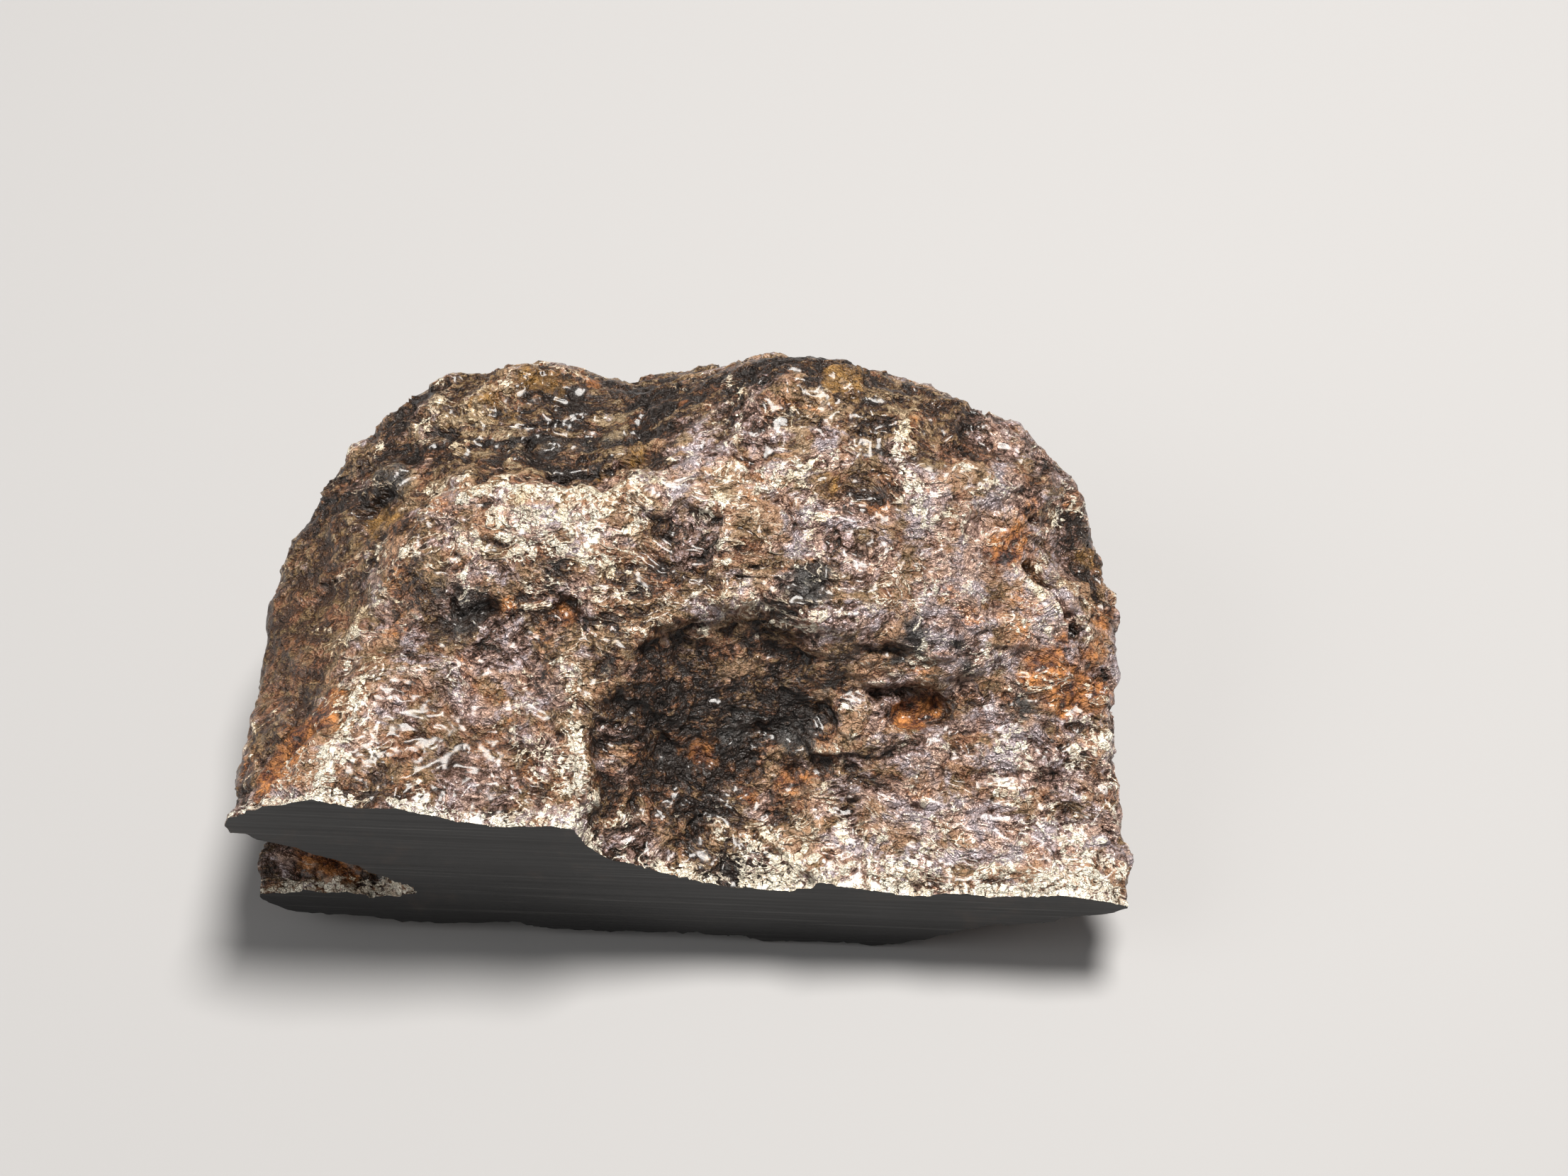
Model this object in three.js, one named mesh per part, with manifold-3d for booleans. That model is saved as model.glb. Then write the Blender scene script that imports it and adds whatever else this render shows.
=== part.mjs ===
// Iron meteorite end cut: one lump of rusty natural crust with a single sawn face.
// Millimetres, +Z up, +Y away from the sawn face, origin under the middle of the lump.
import * as THREE from "three";
import { ConvexHull } from "three/addons/math/ConvexHull.js";
import { SimplexNoise } from "three/addons/math/SimplexNoise.js";
import { mergeVertices } from "three/addons/utils/BufferGeometryUtils.js";
import Module from "manifold-3d";

// Driving dimensions
const LENGTH = 54;
const DEPTH = 36;
const HEIGHT = 23;
const CUT_Y = -DEPTH / 2;
const FLOOR_Z = 0;

// The lump is star-shaped about this point, and its spans scale the directions from it.
const CENTRE = new THREE.Vector3(0.5, -2, 7);
const FLATNESS = 0.6;
const SPANS = new THREE.Vector3(LENGTH / 2, DEPTH / 2, FLATNESS * HEIGHT);

// Surface finish of the solid
const GRID_DETAIL = 20;
const EDGE_SOFTENING = 0.04;
const SOFTENING_SAMPLES = 6;
const CUT_SNAP = 0.4;
const OVERRUN = 4;
const WELD = 1e-4;
const BUMPS = [
  { wavelength: 9, height: 0.35 },
  { wavelength: 4.2, height: 0.3 },
  { wavelength: 2.4, height: 0.2 },
];
const RANDOM = { seed: 20, factor: 1664525, step: 1013904223, span: 2 ** 32 };
const RUSTY_IRON = { color: 0x5a4234, roughness: 0.55, metalness: 0.6 };

// Landmarks of the crust: each is a corner of the broken, pitted form, as [x, y, z].
const SAWN_RIM_TOP = [
  [-27.2, CUT_Y, 13.2],
  [-24, CUT_Y, 14.6],
  [-21.2, CUT_Y, 15.9],
  [-19.6, CUT_Y, 14.4],
  [-13.7, CUT_Y, 13.3],
  [-6.2, CUT_Y, 12.9],
  [-1, CUT_Y, 12],
  [3.5, CUT_Y, 10],
  [8, CUT_Y, 7.2],
  [12.4, CUT_Y, 6.7],
  [19.8, CUT_Y, 6.7],
  [28, CUT_Y, 6.6],
];
const SAWN_RIM_BOTTOM = [
  [24.2, CUT_Y, 5],
  [18.4, CUT_Y, 3.2],
  [14.6, CUT_Y, 1.6],
  [10.6, CUT_Y, 0],
  [3, CUT_Y, 0.6],
  [-6.6, CUT_Y, 1],
  [-12.3, CUT_Y, 1.5],
  [-18, CUT_Y, 1.6],
  [-24.6, CUT_Y, 1.7],
  [-26.6, CUT_Y, 3],
  [-27.2, CUT_Y, 8],
];
const BEYOND_THE_CUT = [...SAWN_RIM_TOP, ...SAWN_RIM_BOTTOM].map(([x, , z]) => [x, CUT_Y - OVERRUN, z]);
const LEFT_RIDGE = [
  [-20.4, -14.1, 16],
  [-19.2, -10.9, 16.4],
  [-17.3, -7.5, 17.5],
  [-15.9, -3.8, 19.2],
  [-14.5, 0.5, 20.6],
];
const FRONT_LEFT_SHELF = [
  [-15, -14.7, 14.4],
  [-15.4, -10.7, 15.7],
  [-10.2, -14.2, 13.8],
  [-10.4, -10, 15.6],
];
const STEP_BELOW_CREST = [
  [-6.6, -11.2, 15.2],
  [-4.4, -7.7, 17],
  [-0.6, -5.3, 18.2],
  [3.6, -5.2, 17.8],
  [9.9, -5.4, 17],
  [15, -5.2, 15.7],
  [-1, -11, 15.4],
  [-1, -14.6, 13.8],
  [4.5, -8, 16.2],
  [4.5, -12, 13.4],
  [4, -15.5, 11],
  [9.6, -7.1, 13.4],
];
const FRONT_RIGHT_SLOPE = [
  [13, -6.8, 13.7],
  [12.7, -8, 11.4],
  [13.6, -9.7, 11.9],
  [8.9, -11.3, 10.5],
  [15.3, -10.9, 10.6],
  [20.4, -9, 11],
  [24, -9.1, 9.8],
  [7.8, -15.5, 8.2],
  [14.2, -14.6, 8.1],
  [20.6, -14.3, 8.1],
  [25.4, -13.7, 7.6],
];
const UPPER_RIGHT_SLOPE = [
  [11.5, -1.9, 18],
  [18, -2.8, 16.1],
  [22.4, 0.9, 15],
  [15.6, 3.2, 20.2],
  [21.4, 4.4, 17.6],
  [21.6, -4.6, 13],
];
const UPPER_SLOPE = [
  [-10.7, -6, 18],
  [-12.2, -2.5, 19.6],
  [-7.4, -3.1, 20],
  [-3.4, -0.5, 21.2],
  [2.6, -1.6, 20],
];
const CREST = [
  [0.7, 3.1, 22.2],
  [5.1, 8.3, 22.9],
  [5.3, 11.4, 22.4],
  [8.2, 5.9, 21.6],
  [11.1, 10.7, 21.2],
  [15.8, 10, 20],
];
const TROUGH = [
  [-10.6, 6.4, 18.4],
  [-4.1, 7.5, 18.8],
  [-15.2, 4.1, 18.3],
  [-7.4, 9.7, 18.2],
  [-5.1, 11.3, 17.4],
];
const BACK_LEFT_BUMP = [
  [-11.7, 9.9, 19.7],
  [-10.1, 12.5, 18.9],
  [-15, 11.8, 18.7],
  [-17.8, 11, 18.4],
  [-19.8, 9.4, 17.3],
];
const LEFT_SIDE = [
  [-20.8, 8.4, 16.7],
  [-23.1, 7.1, 15.2],
  [-25.8, 1.5, 13.2],
  [-27, -1.8, 11.6],
  [-27.2, -6.3, 10.6],
  [-26.6, -11.2, 11.1],
  [-26.2, -14.5, 12.2],
  [-23.2, -2.2, 13.8],
  [-23.8, -8, 12.5],
  [-19.6, 0.5, 17],
];
const RIGHT_SIDE = [
  [20.4, 8.6, 18.4],
  [23.3, 6.4, 16.3],
  [25.1, 2.3, 14.2],
  [26.2, -1, 12.2],
  [26.3, -4, 10.6],
  [26, -7.1, 9.2],
  [26.6, -11.2, 7.6],
  [28, -15, 6.6],
];
const BACK = [
  [-18, 13, 12.5],
  [-8, 16.5, 12],
  [3, 17.5, 13],
  [12, 16.2, 12.5],
  [20.5, 12, 11],
  [-22, 8.5, 9],
  [-12, 16.2, 6],
  [2, 18.2, 6.5],
  [14, 15.8, 5],
  [24, 6, 8.5],
];
const UNDERSIDE = [
  [-15, -12, -0.3],
  [-3, -13, 0.5],
  [10, -14.5, -0.4],
  [18.5, -9, 2.4],
  [23.5, -2, 5],
  [14, 10, -0.4],
  [19, 5, 2.2],
  [3, 13, 0.9],
  [0, 1, 0.6],
  [-14, 11, -0.4],
  [-20.5, 2, 2],
  [-24, -6, 4.8],
  [-22, -11.5, 1.4],
];
const LANDMARKS = [
  SAWN_RIM_TOP,
  SAWN_RIM_BOTTOM,
  BEYOND_THE_CUT,
  LEFT_RIDGE,
  FRONT_LEFT_SHELF,
  STEP_BELOW_CREST,
  FRONT_RIGHT_SLOPE,
  UPPER_RIGHT_SLOPE,
  UPPER_SLOPE,
  CREST,
  TROUGH,
  BACK_LEFT_BUMP,
  LEFT_SIDE,
  RIGHT_SIDE,
  BACK,
  UNDERSIDE,
].flat();

// Broad scoop in the front of the crust, with a crisp rim on its left and at its back
const SCOOP = {
  centre: [5, -17.3, 15.4],
  half: [11.7, 13.8, 7.5],
  point: 0,
  turn: [0.4, 0, 0.12],
  detail: 14,
  bumps: [
    { wavelength: 6, height: 0.45 },
    { wavelength: 2.6, height: 0.28 },
  ],
};

// Wedge-shaped hollow in the left end, which the saw opened into a notch of the sawn face
const NOTCH = {
  centre: [-27, CUT_Y, 7.7],
  half: [11.6, 4.4, 3.5],
  point: 0.4,
  turn: [0, 0.25, 0],
  detail: 7,
  bumps: [{ wavelength: 3, height: 0.4 }],
};

const wasm = await Module();
wasm.setup();

// Repeatable random numbers between 0 and 1
function seededRandom({ seed, factor, step, span }) {
  let state = seed;
  return () => {
    state = (state * factor + step) % span;
    return state / span;
  };
}
const noise = new SimplexNoise({ random: seededRandom(RANDOM) });

function bumpSum(point, bumps) {
  return bumps.reduce((sum, { wavelength, height }) => {
    return sum + height * noise.noise3d(point.x / wavelength, point.y / wavelength, point.z / wavelength);
  }, 0);
}

const toSphere = (point) => point.clone().sub(CENTRE).divide(SPANS);
const fromSphere = (point) => point.clone().multiply(SPANS).add(CENTRE);

// Triangles between neighbouring landmarks, found as the convex hull of their directions
function cragTriangles() {
  const corners = LANDMARKS.map(([x, y, z]) => toSphere(new THREE.Vector3(x, y, z)));
  const cornerOf = new Map(corners.map((corner) => [corner.clone().normalize(), corner]));
  const hull = new ConvexHull().setFromPoints([...cornerOf.keys()]);
  return hull.faces.map((face) => {
    const triangle = [];
    let edge = face.edge;
    do {
      triangle.push(cornerOf.get(edge.head().point));
      edge = edge.next;
    } while (edge !== face.edge);
    return triangle;
  });
}
const crag = cragTriangles();

// Distance from the centre to the flat-faced crag, along a unit direction
function cragRadius(direction) {
  const ray = new THREE.Ray(new THREE.Vector3(), direction);
  const hit = new THREE.Vector3();
  for (const [a, b, c] of crag) {
    if (ray.intersectTriangle(a, b, c, false, hit)) return hit.length();
  }
  return 1;
}

// The crag's radius with its edges rounded, as the mean over a small ring of directions
function softRadius(direction) {
  const side = new THREE.Vector3(direction.y, direction.z, direction.x).cross(direction).normalize();
  const up = direction.clone().cross(side);
  let total = cragRadius(direction);
  for (let i = 0; i < SOFTENING_SAMPLES; i++) {
    const angle = (2 * Math.PI * i) / SOFTENING_SAMPLES;
    const around = direction
      .clone()
      .addScaledVector(side, EDGE_SOFTENING * Math.cos(angle))
      .addScaledVector(up, EDGE_SOFTENING * Math.sin(angle));
    total += cragRadius(around.normalize());
  }
  return total / (SOFTENING_SAMPLES + 1);
}

// Closed geometry with one vertex where its triangles meet
function weldedSphere(detail) {
  const sphere = new THREE.IcosahedronGeometry(1, detail);
  sphere.deleteAttribute("normal");
  sphere.deleteAttribute("uv");
  return mergeVertices(sphere, WELD);
}

function moveVertices(geometry, move) {
  const position = geometry.getAttribute("position");
  const point = new THREE.Vector3();
  for (let i = 0; i < position.count; i++) {
    point.fromBufferAttribute(position, i);
    const moved = move(point);
    position.setXYZ(i, moved.x, moved.y, moved.z);
  }
  return geometry;
}

// The lump before it was sawn, with its low spots levelled to the surface that it rests on
function lumpGeometry() {
  return moveVertices(weldedSphere(GRID_DETAIL), (direction) => {
    const point = fromSphere(direction.clone().multiplyScalar(softRadius(direction)));
    const outward = point.clone().sub(CENTRE).normalize();
    point.addScaledVector(outward, bumpSum(point, BUMPS));
    if (Math.abs(point.y - CUT_Y) < CUT_SNAP) point.y = CUT_Y;
    point.z = Math.max(point.z, FLOOR_Z);
    return point;
  });
}

// An egg-shaped void that is drawn out to a point along +X, turned and roughened
function hollowGeometry({ centre, half, point: sharpness, turn, detail, bumps }) {
  const rotation = new THREE.Euler(...turn);
  return moveVertices(weldedSphere(detail), (direction) => {
    const taper = (1 - direction.x) ** sharpness;
    const point = direction.clone().multiply(new THREE.Vector3(half[0], half[1] * taper, half[2] * taper));
    point.applyEuler(rotation).add(new THREE.Vector3(...centre));
    return point.addScaledVector(direction, bumpSum(point, bumps));
  });
}

// Everything that the saw took away, as a block in front of the sawn face
function sawnOffGeometry() {
  const block = new THREE.BoxGeometry(2 * LENGTH, DEPTH, 3 * HEIGHT);
  block.translate(0, CUT_Y - DEPTH / 2, HEIGHT / 2);
  block.deleteAttribute("normal");
  block.deleteAttribute("uv");
  return mergeVertices(block, WELD);
}

function toSolid(geometry) {
  const mesh = new wasm.Mesh({
    numProp: 3,
    vertProperties: geometry.getAttribute("position").array,
    triVerts: new Uint32Array(geometry.index.array),
  });
  return new wasm.Manifold(mesh);
}

function toGeometry(solid) {
  const { vertProperties, triVerts } = solid.getMesh();
  const geometry = new THREE.BufferGeometry();
  geometry.setAttribute("position", new THREE.BufferAttribute(vertProperties, 3));
  geometry.setIndex(new THREE.BufferAttribute(triVerts, 1));
  geometry.computeVertexNormals();
  return geometry;
}

// Moves the origin to the middle of the box's lowest face
function centreOnFloor(mesh) {
  mesh.geometry.computeBoundingBox();
  const { min, max } = mesh.geometry.boundingBox;
  mesh.position.set(-(min.x + max.x) / 2, -(min.y + max.y) / 2, -min.z);
  return mesh;
}

const solid = toSolid(lumpGeometry())
  .subtract(toSolid(hollowGeometry(SCOOP)))
  .subtract(toSolid(hollowGeometry(NOTCH)))
  .subtract(toSolid(sawnOffGeometry()));
const rustyIron = new THREE.MeshStandardMaterial(RUSTY_IRON);
const meteorite = centreOnFloor(new THREE.Mesh(toGeometry(solid), rustyIron));
meteorite.name = "meteorite";

const part = new THREE.Group();
part.add(meteorite);

export default part;
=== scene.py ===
"""Iron meteorite end cut: the CAD lump as a frame, with its crust sculpted and its surfaces painted."""
import itertools
import math

import bmesh
import bpy
import numpy as np
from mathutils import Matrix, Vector


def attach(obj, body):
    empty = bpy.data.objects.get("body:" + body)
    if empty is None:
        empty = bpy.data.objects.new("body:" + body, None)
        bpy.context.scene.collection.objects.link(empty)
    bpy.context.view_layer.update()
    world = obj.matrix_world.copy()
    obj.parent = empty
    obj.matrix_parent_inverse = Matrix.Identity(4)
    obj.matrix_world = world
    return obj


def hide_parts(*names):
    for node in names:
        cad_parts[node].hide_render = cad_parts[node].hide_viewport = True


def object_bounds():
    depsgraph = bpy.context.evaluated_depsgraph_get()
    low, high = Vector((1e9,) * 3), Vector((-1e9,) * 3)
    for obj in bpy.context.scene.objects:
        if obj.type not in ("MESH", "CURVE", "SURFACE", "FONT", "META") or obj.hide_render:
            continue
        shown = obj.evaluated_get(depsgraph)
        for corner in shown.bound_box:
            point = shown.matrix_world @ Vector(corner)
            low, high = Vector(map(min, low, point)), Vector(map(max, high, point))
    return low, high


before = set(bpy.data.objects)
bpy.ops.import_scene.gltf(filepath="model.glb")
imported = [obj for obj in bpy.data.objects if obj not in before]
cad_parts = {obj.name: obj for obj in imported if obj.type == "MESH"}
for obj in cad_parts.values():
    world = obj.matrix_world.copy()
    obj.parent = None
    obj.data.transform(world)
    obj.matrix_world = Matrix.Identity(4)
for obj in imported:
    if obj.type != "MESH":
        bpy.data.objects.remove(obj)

CAD_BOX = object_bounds()
MM = 0.001

# Middle of a cell, or of a value from 0 to 1
MIDDLE = 0.5

# Mesh of the crust: lengths in millimetres, and the triangles it is thinned to before it is sawn
VOXEL = 0.2
TRIANGLES = 208_000
SAW_OVERRUN = 2.0
SAW_NEAR = 0.12

# The photograph's view, in degrees and millimetres
VIEW_AZIMUTH = 2.5
VIEW_ELEVATION = 55.0
VIEW_DISTANCE = 178.0
VIEW_TARGET = (4.8, 8.9, 0.0)
VIEW_WIDTH = 106.5
SENSOR = 36.0

# Crust relief: size and height in millimetres, and a seed for its noise
PLATES = (
    (4.6, 0.30, 1),
    (1.8, 0.18, 2),
    (0.9, 0.11, 3),
    (0.5, 0.06, 4),
)
CRESTS = (
    (2.8, 0.20, 21),
    (1.1, 0.12, 22),
)
GRAINS = (
    (6.0, 0.22, 11),
    (0.6, 0.05, 12),
)
CHIP_STRETCH = np.array((0.75, 1.0, 1.1))
WARP_SIZE = 2.4
WARP_REACH = 0.8
WARP_SEED = 31
WANDER_SIZE = 1.1
WANDER_REACH = 0.35
WANDER_SEED = 51
CREST_LEVEL = 0.45
CREST_SLOPE = 2
SMOOTHING = 0.65

# Ridges of the crust: points along the crest, half width and height in millimetres, and how much bare
# metal and painted glint it shows
RIDGES = (
    (((-19.1, -10.2, 15.9), (-19.8, -12.8, 15.7), (-20.5, -15.2, 15.5),
      (-21.3, -18.0, 15.2)), 1.1, 0.8, 1.0),
    (((-14.8, 1.6, 19.6), (-16.6, -2.0, 19.3), (-18.0, -3.7, 17.9), (-19.1, -5.3, 16.4),
      (-20.7, -7.2, 14.7)), 1.2, 0.5, 0.35),
    (((-7.7, -8.5, 16.6), (-6.6, -10.7, 15.5), (-6.4, -13.3, 14.2), (-6.3, -15.7, 13.4),
      (-6.4, -18.0, 13.1)), 0.9, 0.35, 0.8),
    (((-3.1, -7.0, 17.7), (-1.1, -5.2, 18.1), (3.0, -4.4, 18.3), (6.4, -5.0, 17.7),
      (9.4, -5.2, 17.3)), 0.9, 0.30, 0.3),
    (((-13.8, 0.4, 20.5), (-12.2, 1.2, 20.3), (-9.5, 0.5, 20.6), (-6.5, 0.3, 20.7),
      (-3.6, 1.0, 21.1)), 1.2, 0.5, 0.6),
    (((-6.2, -0.3, 20.8), (-5.5, -2.1, 20.1), (-5.6, -3.8, 19.3)), 0.7, 0.5, 0.4),
    (((7.3, 3.7, 20.9), (4.0, 1.3, 21.0), (0.7, -0.3, 20.9)), 1.0, 0.45, 0.5),
    (((12.0, 6.7, 20.9), (11.8, 4.0, 20.7), (13.0, 2.0, 19.9)), 1.0, 0.45, 0.4),
    (((19.4, -0.9, 16.2), (21.2, -1.8, 15.0), (22.2, -3.2, 13.9)), 0.8, 0.5, 0.4),
)

# Cracks and torn ledges: points along the line, half width and depth in millimetres
GROOVES = (
    (((19.8, -0.2, 16.1), (21.4, -0.9, 15.0), (22.6, -2.2, 13.9), (23.0, -3.0, 13.3)), 0.35, 1.1),
    (((20.6, 2.4, 17.0), (19.4, 2.9, 17.6), (18.6, 3.0, 18.0)), 0.25, 0.6),
    (((-8.9, 2.9, 19.6), (-7.2, 3.2, 19.5), (-5.5, 3.4, 19.9), (-4.2, 4.2, 19.9)), 0.40, 1.2),
    (((-12.6, 5.6, 18.5), (-10.8, 6.0, 18.7)), 0.30, 0.7),
    (((-5.2, 6.5, 19.4), (-3.8, 7.0, 19.6), (-2.4, 8.0, 19.8)), 0.25, 0.6),
    (((3.2, 0.7, 21.0), (4.9, 0.4, 20.8), (5.8, 0.2, 20.5)), 0.30, 0.6),
    (((10.9, -7.6, 12.9), (12.8, -7.2, 12.6), (14.7, -7.4, 12.1)), 0.45, 0.9),
    (((11.2, -8.9, 11.7), (13.0, -8.3, 11.9), (14.8, -7.9, 11.8)), 0.6, 0.8),
    (((-14.1, -5.8, 18.3), (-13.6, -6.5, 17.9), (-12.0, -6.0, 18.0)), 0.40, 0.8),
    (((11.0, -5.9, 15.2), (13.3, -6.2, 14.9), (15.6, -6.4, 14.4)), 0.35, 0.6),
    (((-22.6, 3.0, 14.6), (-20.8, 1.9, 16.2), (-19.2, 3.0, 17.2)), 0.35, 0.6),
    (((9.5, -11.5, 10.4), (12.0, -13.2, 9.2), (14.0, -13.2, 9.0)), 0.35, 0.4),
)

# Dents and knobs: centre, radius and depth in millimetres, with a depth below zero for a knob
DENTS = (
    ((-7.4, -5.8, 18.3), 0.8, 0.7),
    ((0.7, -10.8, 10.7), 1.0, 0.4),
    ((24.0, 2.4, 14.4), 2.2, 0.6),
    ((-19.6, 1.6, 16.8), 1.5, 0.4),
    ((-18.2, 5.8, 17.4), 0.9, 0.5),
    ((-17.2, 8.6, 18.0), 1.5, -0.6),
    ((-14.5, 8.7, 18.4), 1.1, -0.5),
    ((-19.4, 4.2, 17.0), 1.4, -0.5),
    ((-21.4, 7.0, 16.0), 1.3, -0.4),
)
DENT_STEEPNESS = 4

# Painted patches of the crust: centre and radius in millimetres, and strength
PATCHES = {
    "smooth": (
        ((-24.0, -5.0, 11.0), 7.0, 1.0),
        ((-13.5, -13.0, 14.5), 5.5, 0.8),
        ((15.0, 0.0, 18.0), 5.5, 0.8),
        ((16.0, -12.5, 9.4), 6.5, 0.4),
    ),
    "rust": (
        ((-23.7, -16.0, 14.3), 2.0, 1.0),
        ((-22.4, -13.6, 14.8), 1.9, 1.0),
        ((-21.0, -11.2, 15.2), 1.3, 0.8),
        ((11.4, -8.9, 11.7), 0.9, 1.1),
        ((12.6, -8.5, 11.9), 0.8, 1.1),
        ((13.8, -8.2, 11.9), 0.6, 1.1),
        ((14.8, -7.9, 11.8), 0.5, 1.0),
        ((0.7, -10.8, 10.7), 1.0, 1.1),
        ((5.9, -12.0, 9.6), 1.3, 0.8),
        ((3.6, -12.6, 9.4), 0.9, 0.6),
        ((21.5, -4.8, 13.0), 2.2, 0.7),
        ((23.6, -6.2, 11.6), 1.8, 0.8),
        ((24.8, -1.5, 12.4), 2.0, 0.5),
        ((19.6, 1.2, 17.2), 1.6, 0.7),
        ((17.9, 0.2, 17.4), 1.2, 0.6),
        ((12.8, 6.8, 20.4), 1.0, 0.7),
        ((-1.6, 8.9, 20.1), 0.6, 1.0),
        ((-7.7, 11.8, 18.0), 0.9, 0.8),
        ((-10.8, -5.9, 18.1), 0.7, 0.9),
        ((-7.4, -6.3, 18.0), 0.8, 0.9),
        ((-9.0, -15.0, 13.9), 1.4, 0.5),
        ((-22.4, -15.6, 5.0), 2.0, 1.0),
        ((-18.6, -15.6, 6.6), 1.6, 0.7),
        ((17.0, 12.0, 10.0), 3.0, 0.6),
        ((-10.0, 16.0, 8.0), 3.4, 0.6),
        ((4.0, 17.0, 12.0), 2.6, 0.5),
    ),
    "ochre": (
        ((-19.6, 1.0, 16.8), 1.7, 1.0),
        ((8.5, 8.9, 21.6), 1.5, 1.0),
        ((-4.2, 4.4, 19.9), 0.9, 0.9),
        ((-6.2, 3.0, 19.8), 0.8, 1.0),
        ((-8.0, 2.8, 19.6), 0.7, 0.8),
        ((-10.4, 11.0, 19.2), 2.0, 0.7),
        ((7.7, 2.4, 20.3), 0.8, 0.9),
        ((-14.0, 9.0, 18.0), 1.8, 0.6),
        ((24.5, 2.2, 14.0), 2.0, 0.6),
    ),
    "slate": (
        ((-13.3, -6.1, 18.1), 1.7, 1.0),
        ((6.8, -3.3, 18.2), 1.6, 1.1),
        ((13.3, -5.5, 15.5), 1.8, 0.9),
        ((16.6, -6.2, 13.8), 1.3, 0.7),
        ((19.9, -7.2, 11.9), 1.3, 0.8),
        ((-12.6, 5.4, 18.4), 1.5, 0.5),
        ((-9.8, 5.8, 18.7), 1.5, 0.6),
        ((-7.2, 6.0, 18.9), 1.4, 0.6),
        ((-4.6, 6.4, 19.3), 1.3, 0.5),
        ((6.6, -9.4, 11.2), 1.8, 0.9),
        ((2.8, -9.7, 11.4), 1.6, 0.9),
        ((-19.2, 3.4, 17.1), 1.6, 0.9),
        ((14.4, -11.4, 9.8), 1.6, 0.5),
        ((24.0, 3.4, 14.6), 1.2, 0.7),
    ),
    "earth": (
        ((-25.0, -6.0, 10.0), 7.0, 1.0),
        ((-22.0, 2.0, 13.0), 5.0, 1.0),
        ((-14.0, 7.0, 18.4), 4.5, 0.9),
        ((-6.0, 7.2, 19.2), 4.5, 0.9),
        ((11.5, 9.0, 20.8), 4.2, 0.9),
        ((23.0, -1.0, 13.0), 3.6, 0.3),
        ((0.0, 18.0, 10.0), 14.0, 0.6),
        ((0.0, 0.0, 0.0), 16.0, 0.8),
    ),
    # Dark: darker oxide, and painted shade in the scooped hollow, in the notch and on the slope behind the
    # crest that faces away from the lamp
    "dark": (
        ((-1.0, -8.6, 12.0), 5.0, 1.0),
        ((6.0, -7.6, 13.0), 4.0, 0.9),
        ((1.0, -13.0, 9.0), 3.5, 0.25),
        ((-17.8, -16.6, 15.0), 1.5, 0.7),
        ((-15.2, -14.4, 14.8), 3.2, 0.4),
        ((-22.4, -15.6, 5.0), 1.7, 1.0),
        ((10.5, 7.6, 21.2), 4.2, 0.9),
        ((6.0, 10.5, 20.6), 3.5, 0.8),
        ((-5.0, 7.2, 19.2), 4.0, 0.45),
        ((-12.0, 6.2, 18.6), 4.0, 0.5),
        ((22.6, -3.0, 13.6), 3.0, 0.3),
    ),
    # Sheen: paler, more metallic grey, partly a painted sheen, and painted light on the front and right
    # slopes that the lamp reaches less
    "sheen": (
        ((-8.0, -2.0, 19.6), 7.0, 0.2),
        ((-13.0, -12.0, 14.6), 7.0, 0.35),
        ((25.0, -3.0, 12.0), 3.5, 0.5),
        ((15.0, 0.5, 18.0), 7.5, 1.0),
        ((3.0, 2.0, 20.5), 5.0, 0.8),
        ((-12.6, 9.6, 19.0), 3.2, 0.45),
        ((14.0, -12.5, 9.4), 6.0, 1.0),
        ((6.0, -15.0, 8.2), 3.5, 0.5),
        ((21.0, -12.5, 8.8), 6.0, 1.0),
        ((20.0, -3.5, 14.0), 3.0, 0.5),
    ),
    "streak": (
        ((-13.0, 7.0, 18.4), 4.5, 1.0),
        ((-6.0, 7.2, 19.2), 4.5, 1.0),
        ((-1.0, 7.5, 20.0), 3.0, 0.6),
        ((-24.0, -3.0, 11.0), 6.0, 0.4),
    ),
    # Wear and glints: bare iron rubbed through the crust, and painted glints on knobs and along the front
    # rim
    "worn_and_glints": (
        ((-7.4, -14.4, 13.8), 1.8, 0.9),
        ((-17.2, 8.6, 18.0), 1.4, 0.9),
        ((-13.4, 8.8, 18.9), 2.2, 0.5),
        ((-18.4, 6.4, 17.4), 1.2, 0.6),
        ((-8.0, -2.5, 20.0), 5.0, 0.7),
        ((14.0, 1.5, 19.0), 6.0, 0.35),
        ((2.0, 6.0, 20.6), 3.0, 0.6),
        ((23.0, 4.4, 16.0), 1.8, 0.9),
        ((19.6, -9.8, 10.4), 2.4, 0.9),
        ((15.0, -13.5, 8.8), 4.0, 0.2),
        ((22.0, -13.5, 8.2), 4.0, 0.35),
        ((24.3, -8.3, 9.9), 1.4, 0.9),
        ((2.1, -13.9, 8.9), 1.0, 1.2),
        ((5.0, -16.9, 7.5), 1.7, 1.2),
        ((4.7, -14.6, 8.2), 1.0, 1.0),
        ((24.3, -17.4, 7.3), 1.1, 1.4),
        ((14.2, -17.6, 7.2), 1.6, 0.6),
        ((-19.4, -17.5, 4.4), 1.2, 1.2),
        ((-17.0, -17.4, 4.6), 1.4, 1.2),
    ),
}
PATCH_NOISE = 1.6
PATCH_UNEVEN = 0.5
PATCH_SEED = 41

# Bare metal and painted glints on the edge of the cut and on the ridges, only on faces that point up, with
# widths and reaches in millimetres
STRIP_WIDTH = 0.75
STRIP_SHINE = 1.25
SCATTER_REACH = 2.4
SCATTER_SHINE = 0.5
SCATTER_MIDDLE = 0.4
SCATTER_TO_RIGHT = 0.05
SCATTER_LEAST = 0.2
RIM_NOISE = 2.6
RIM_UNEVEN = 0.7
RIM_SEED = 61
RIM_UPWARD = 2
RIDGE_NARROWING = 1.9

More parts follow.
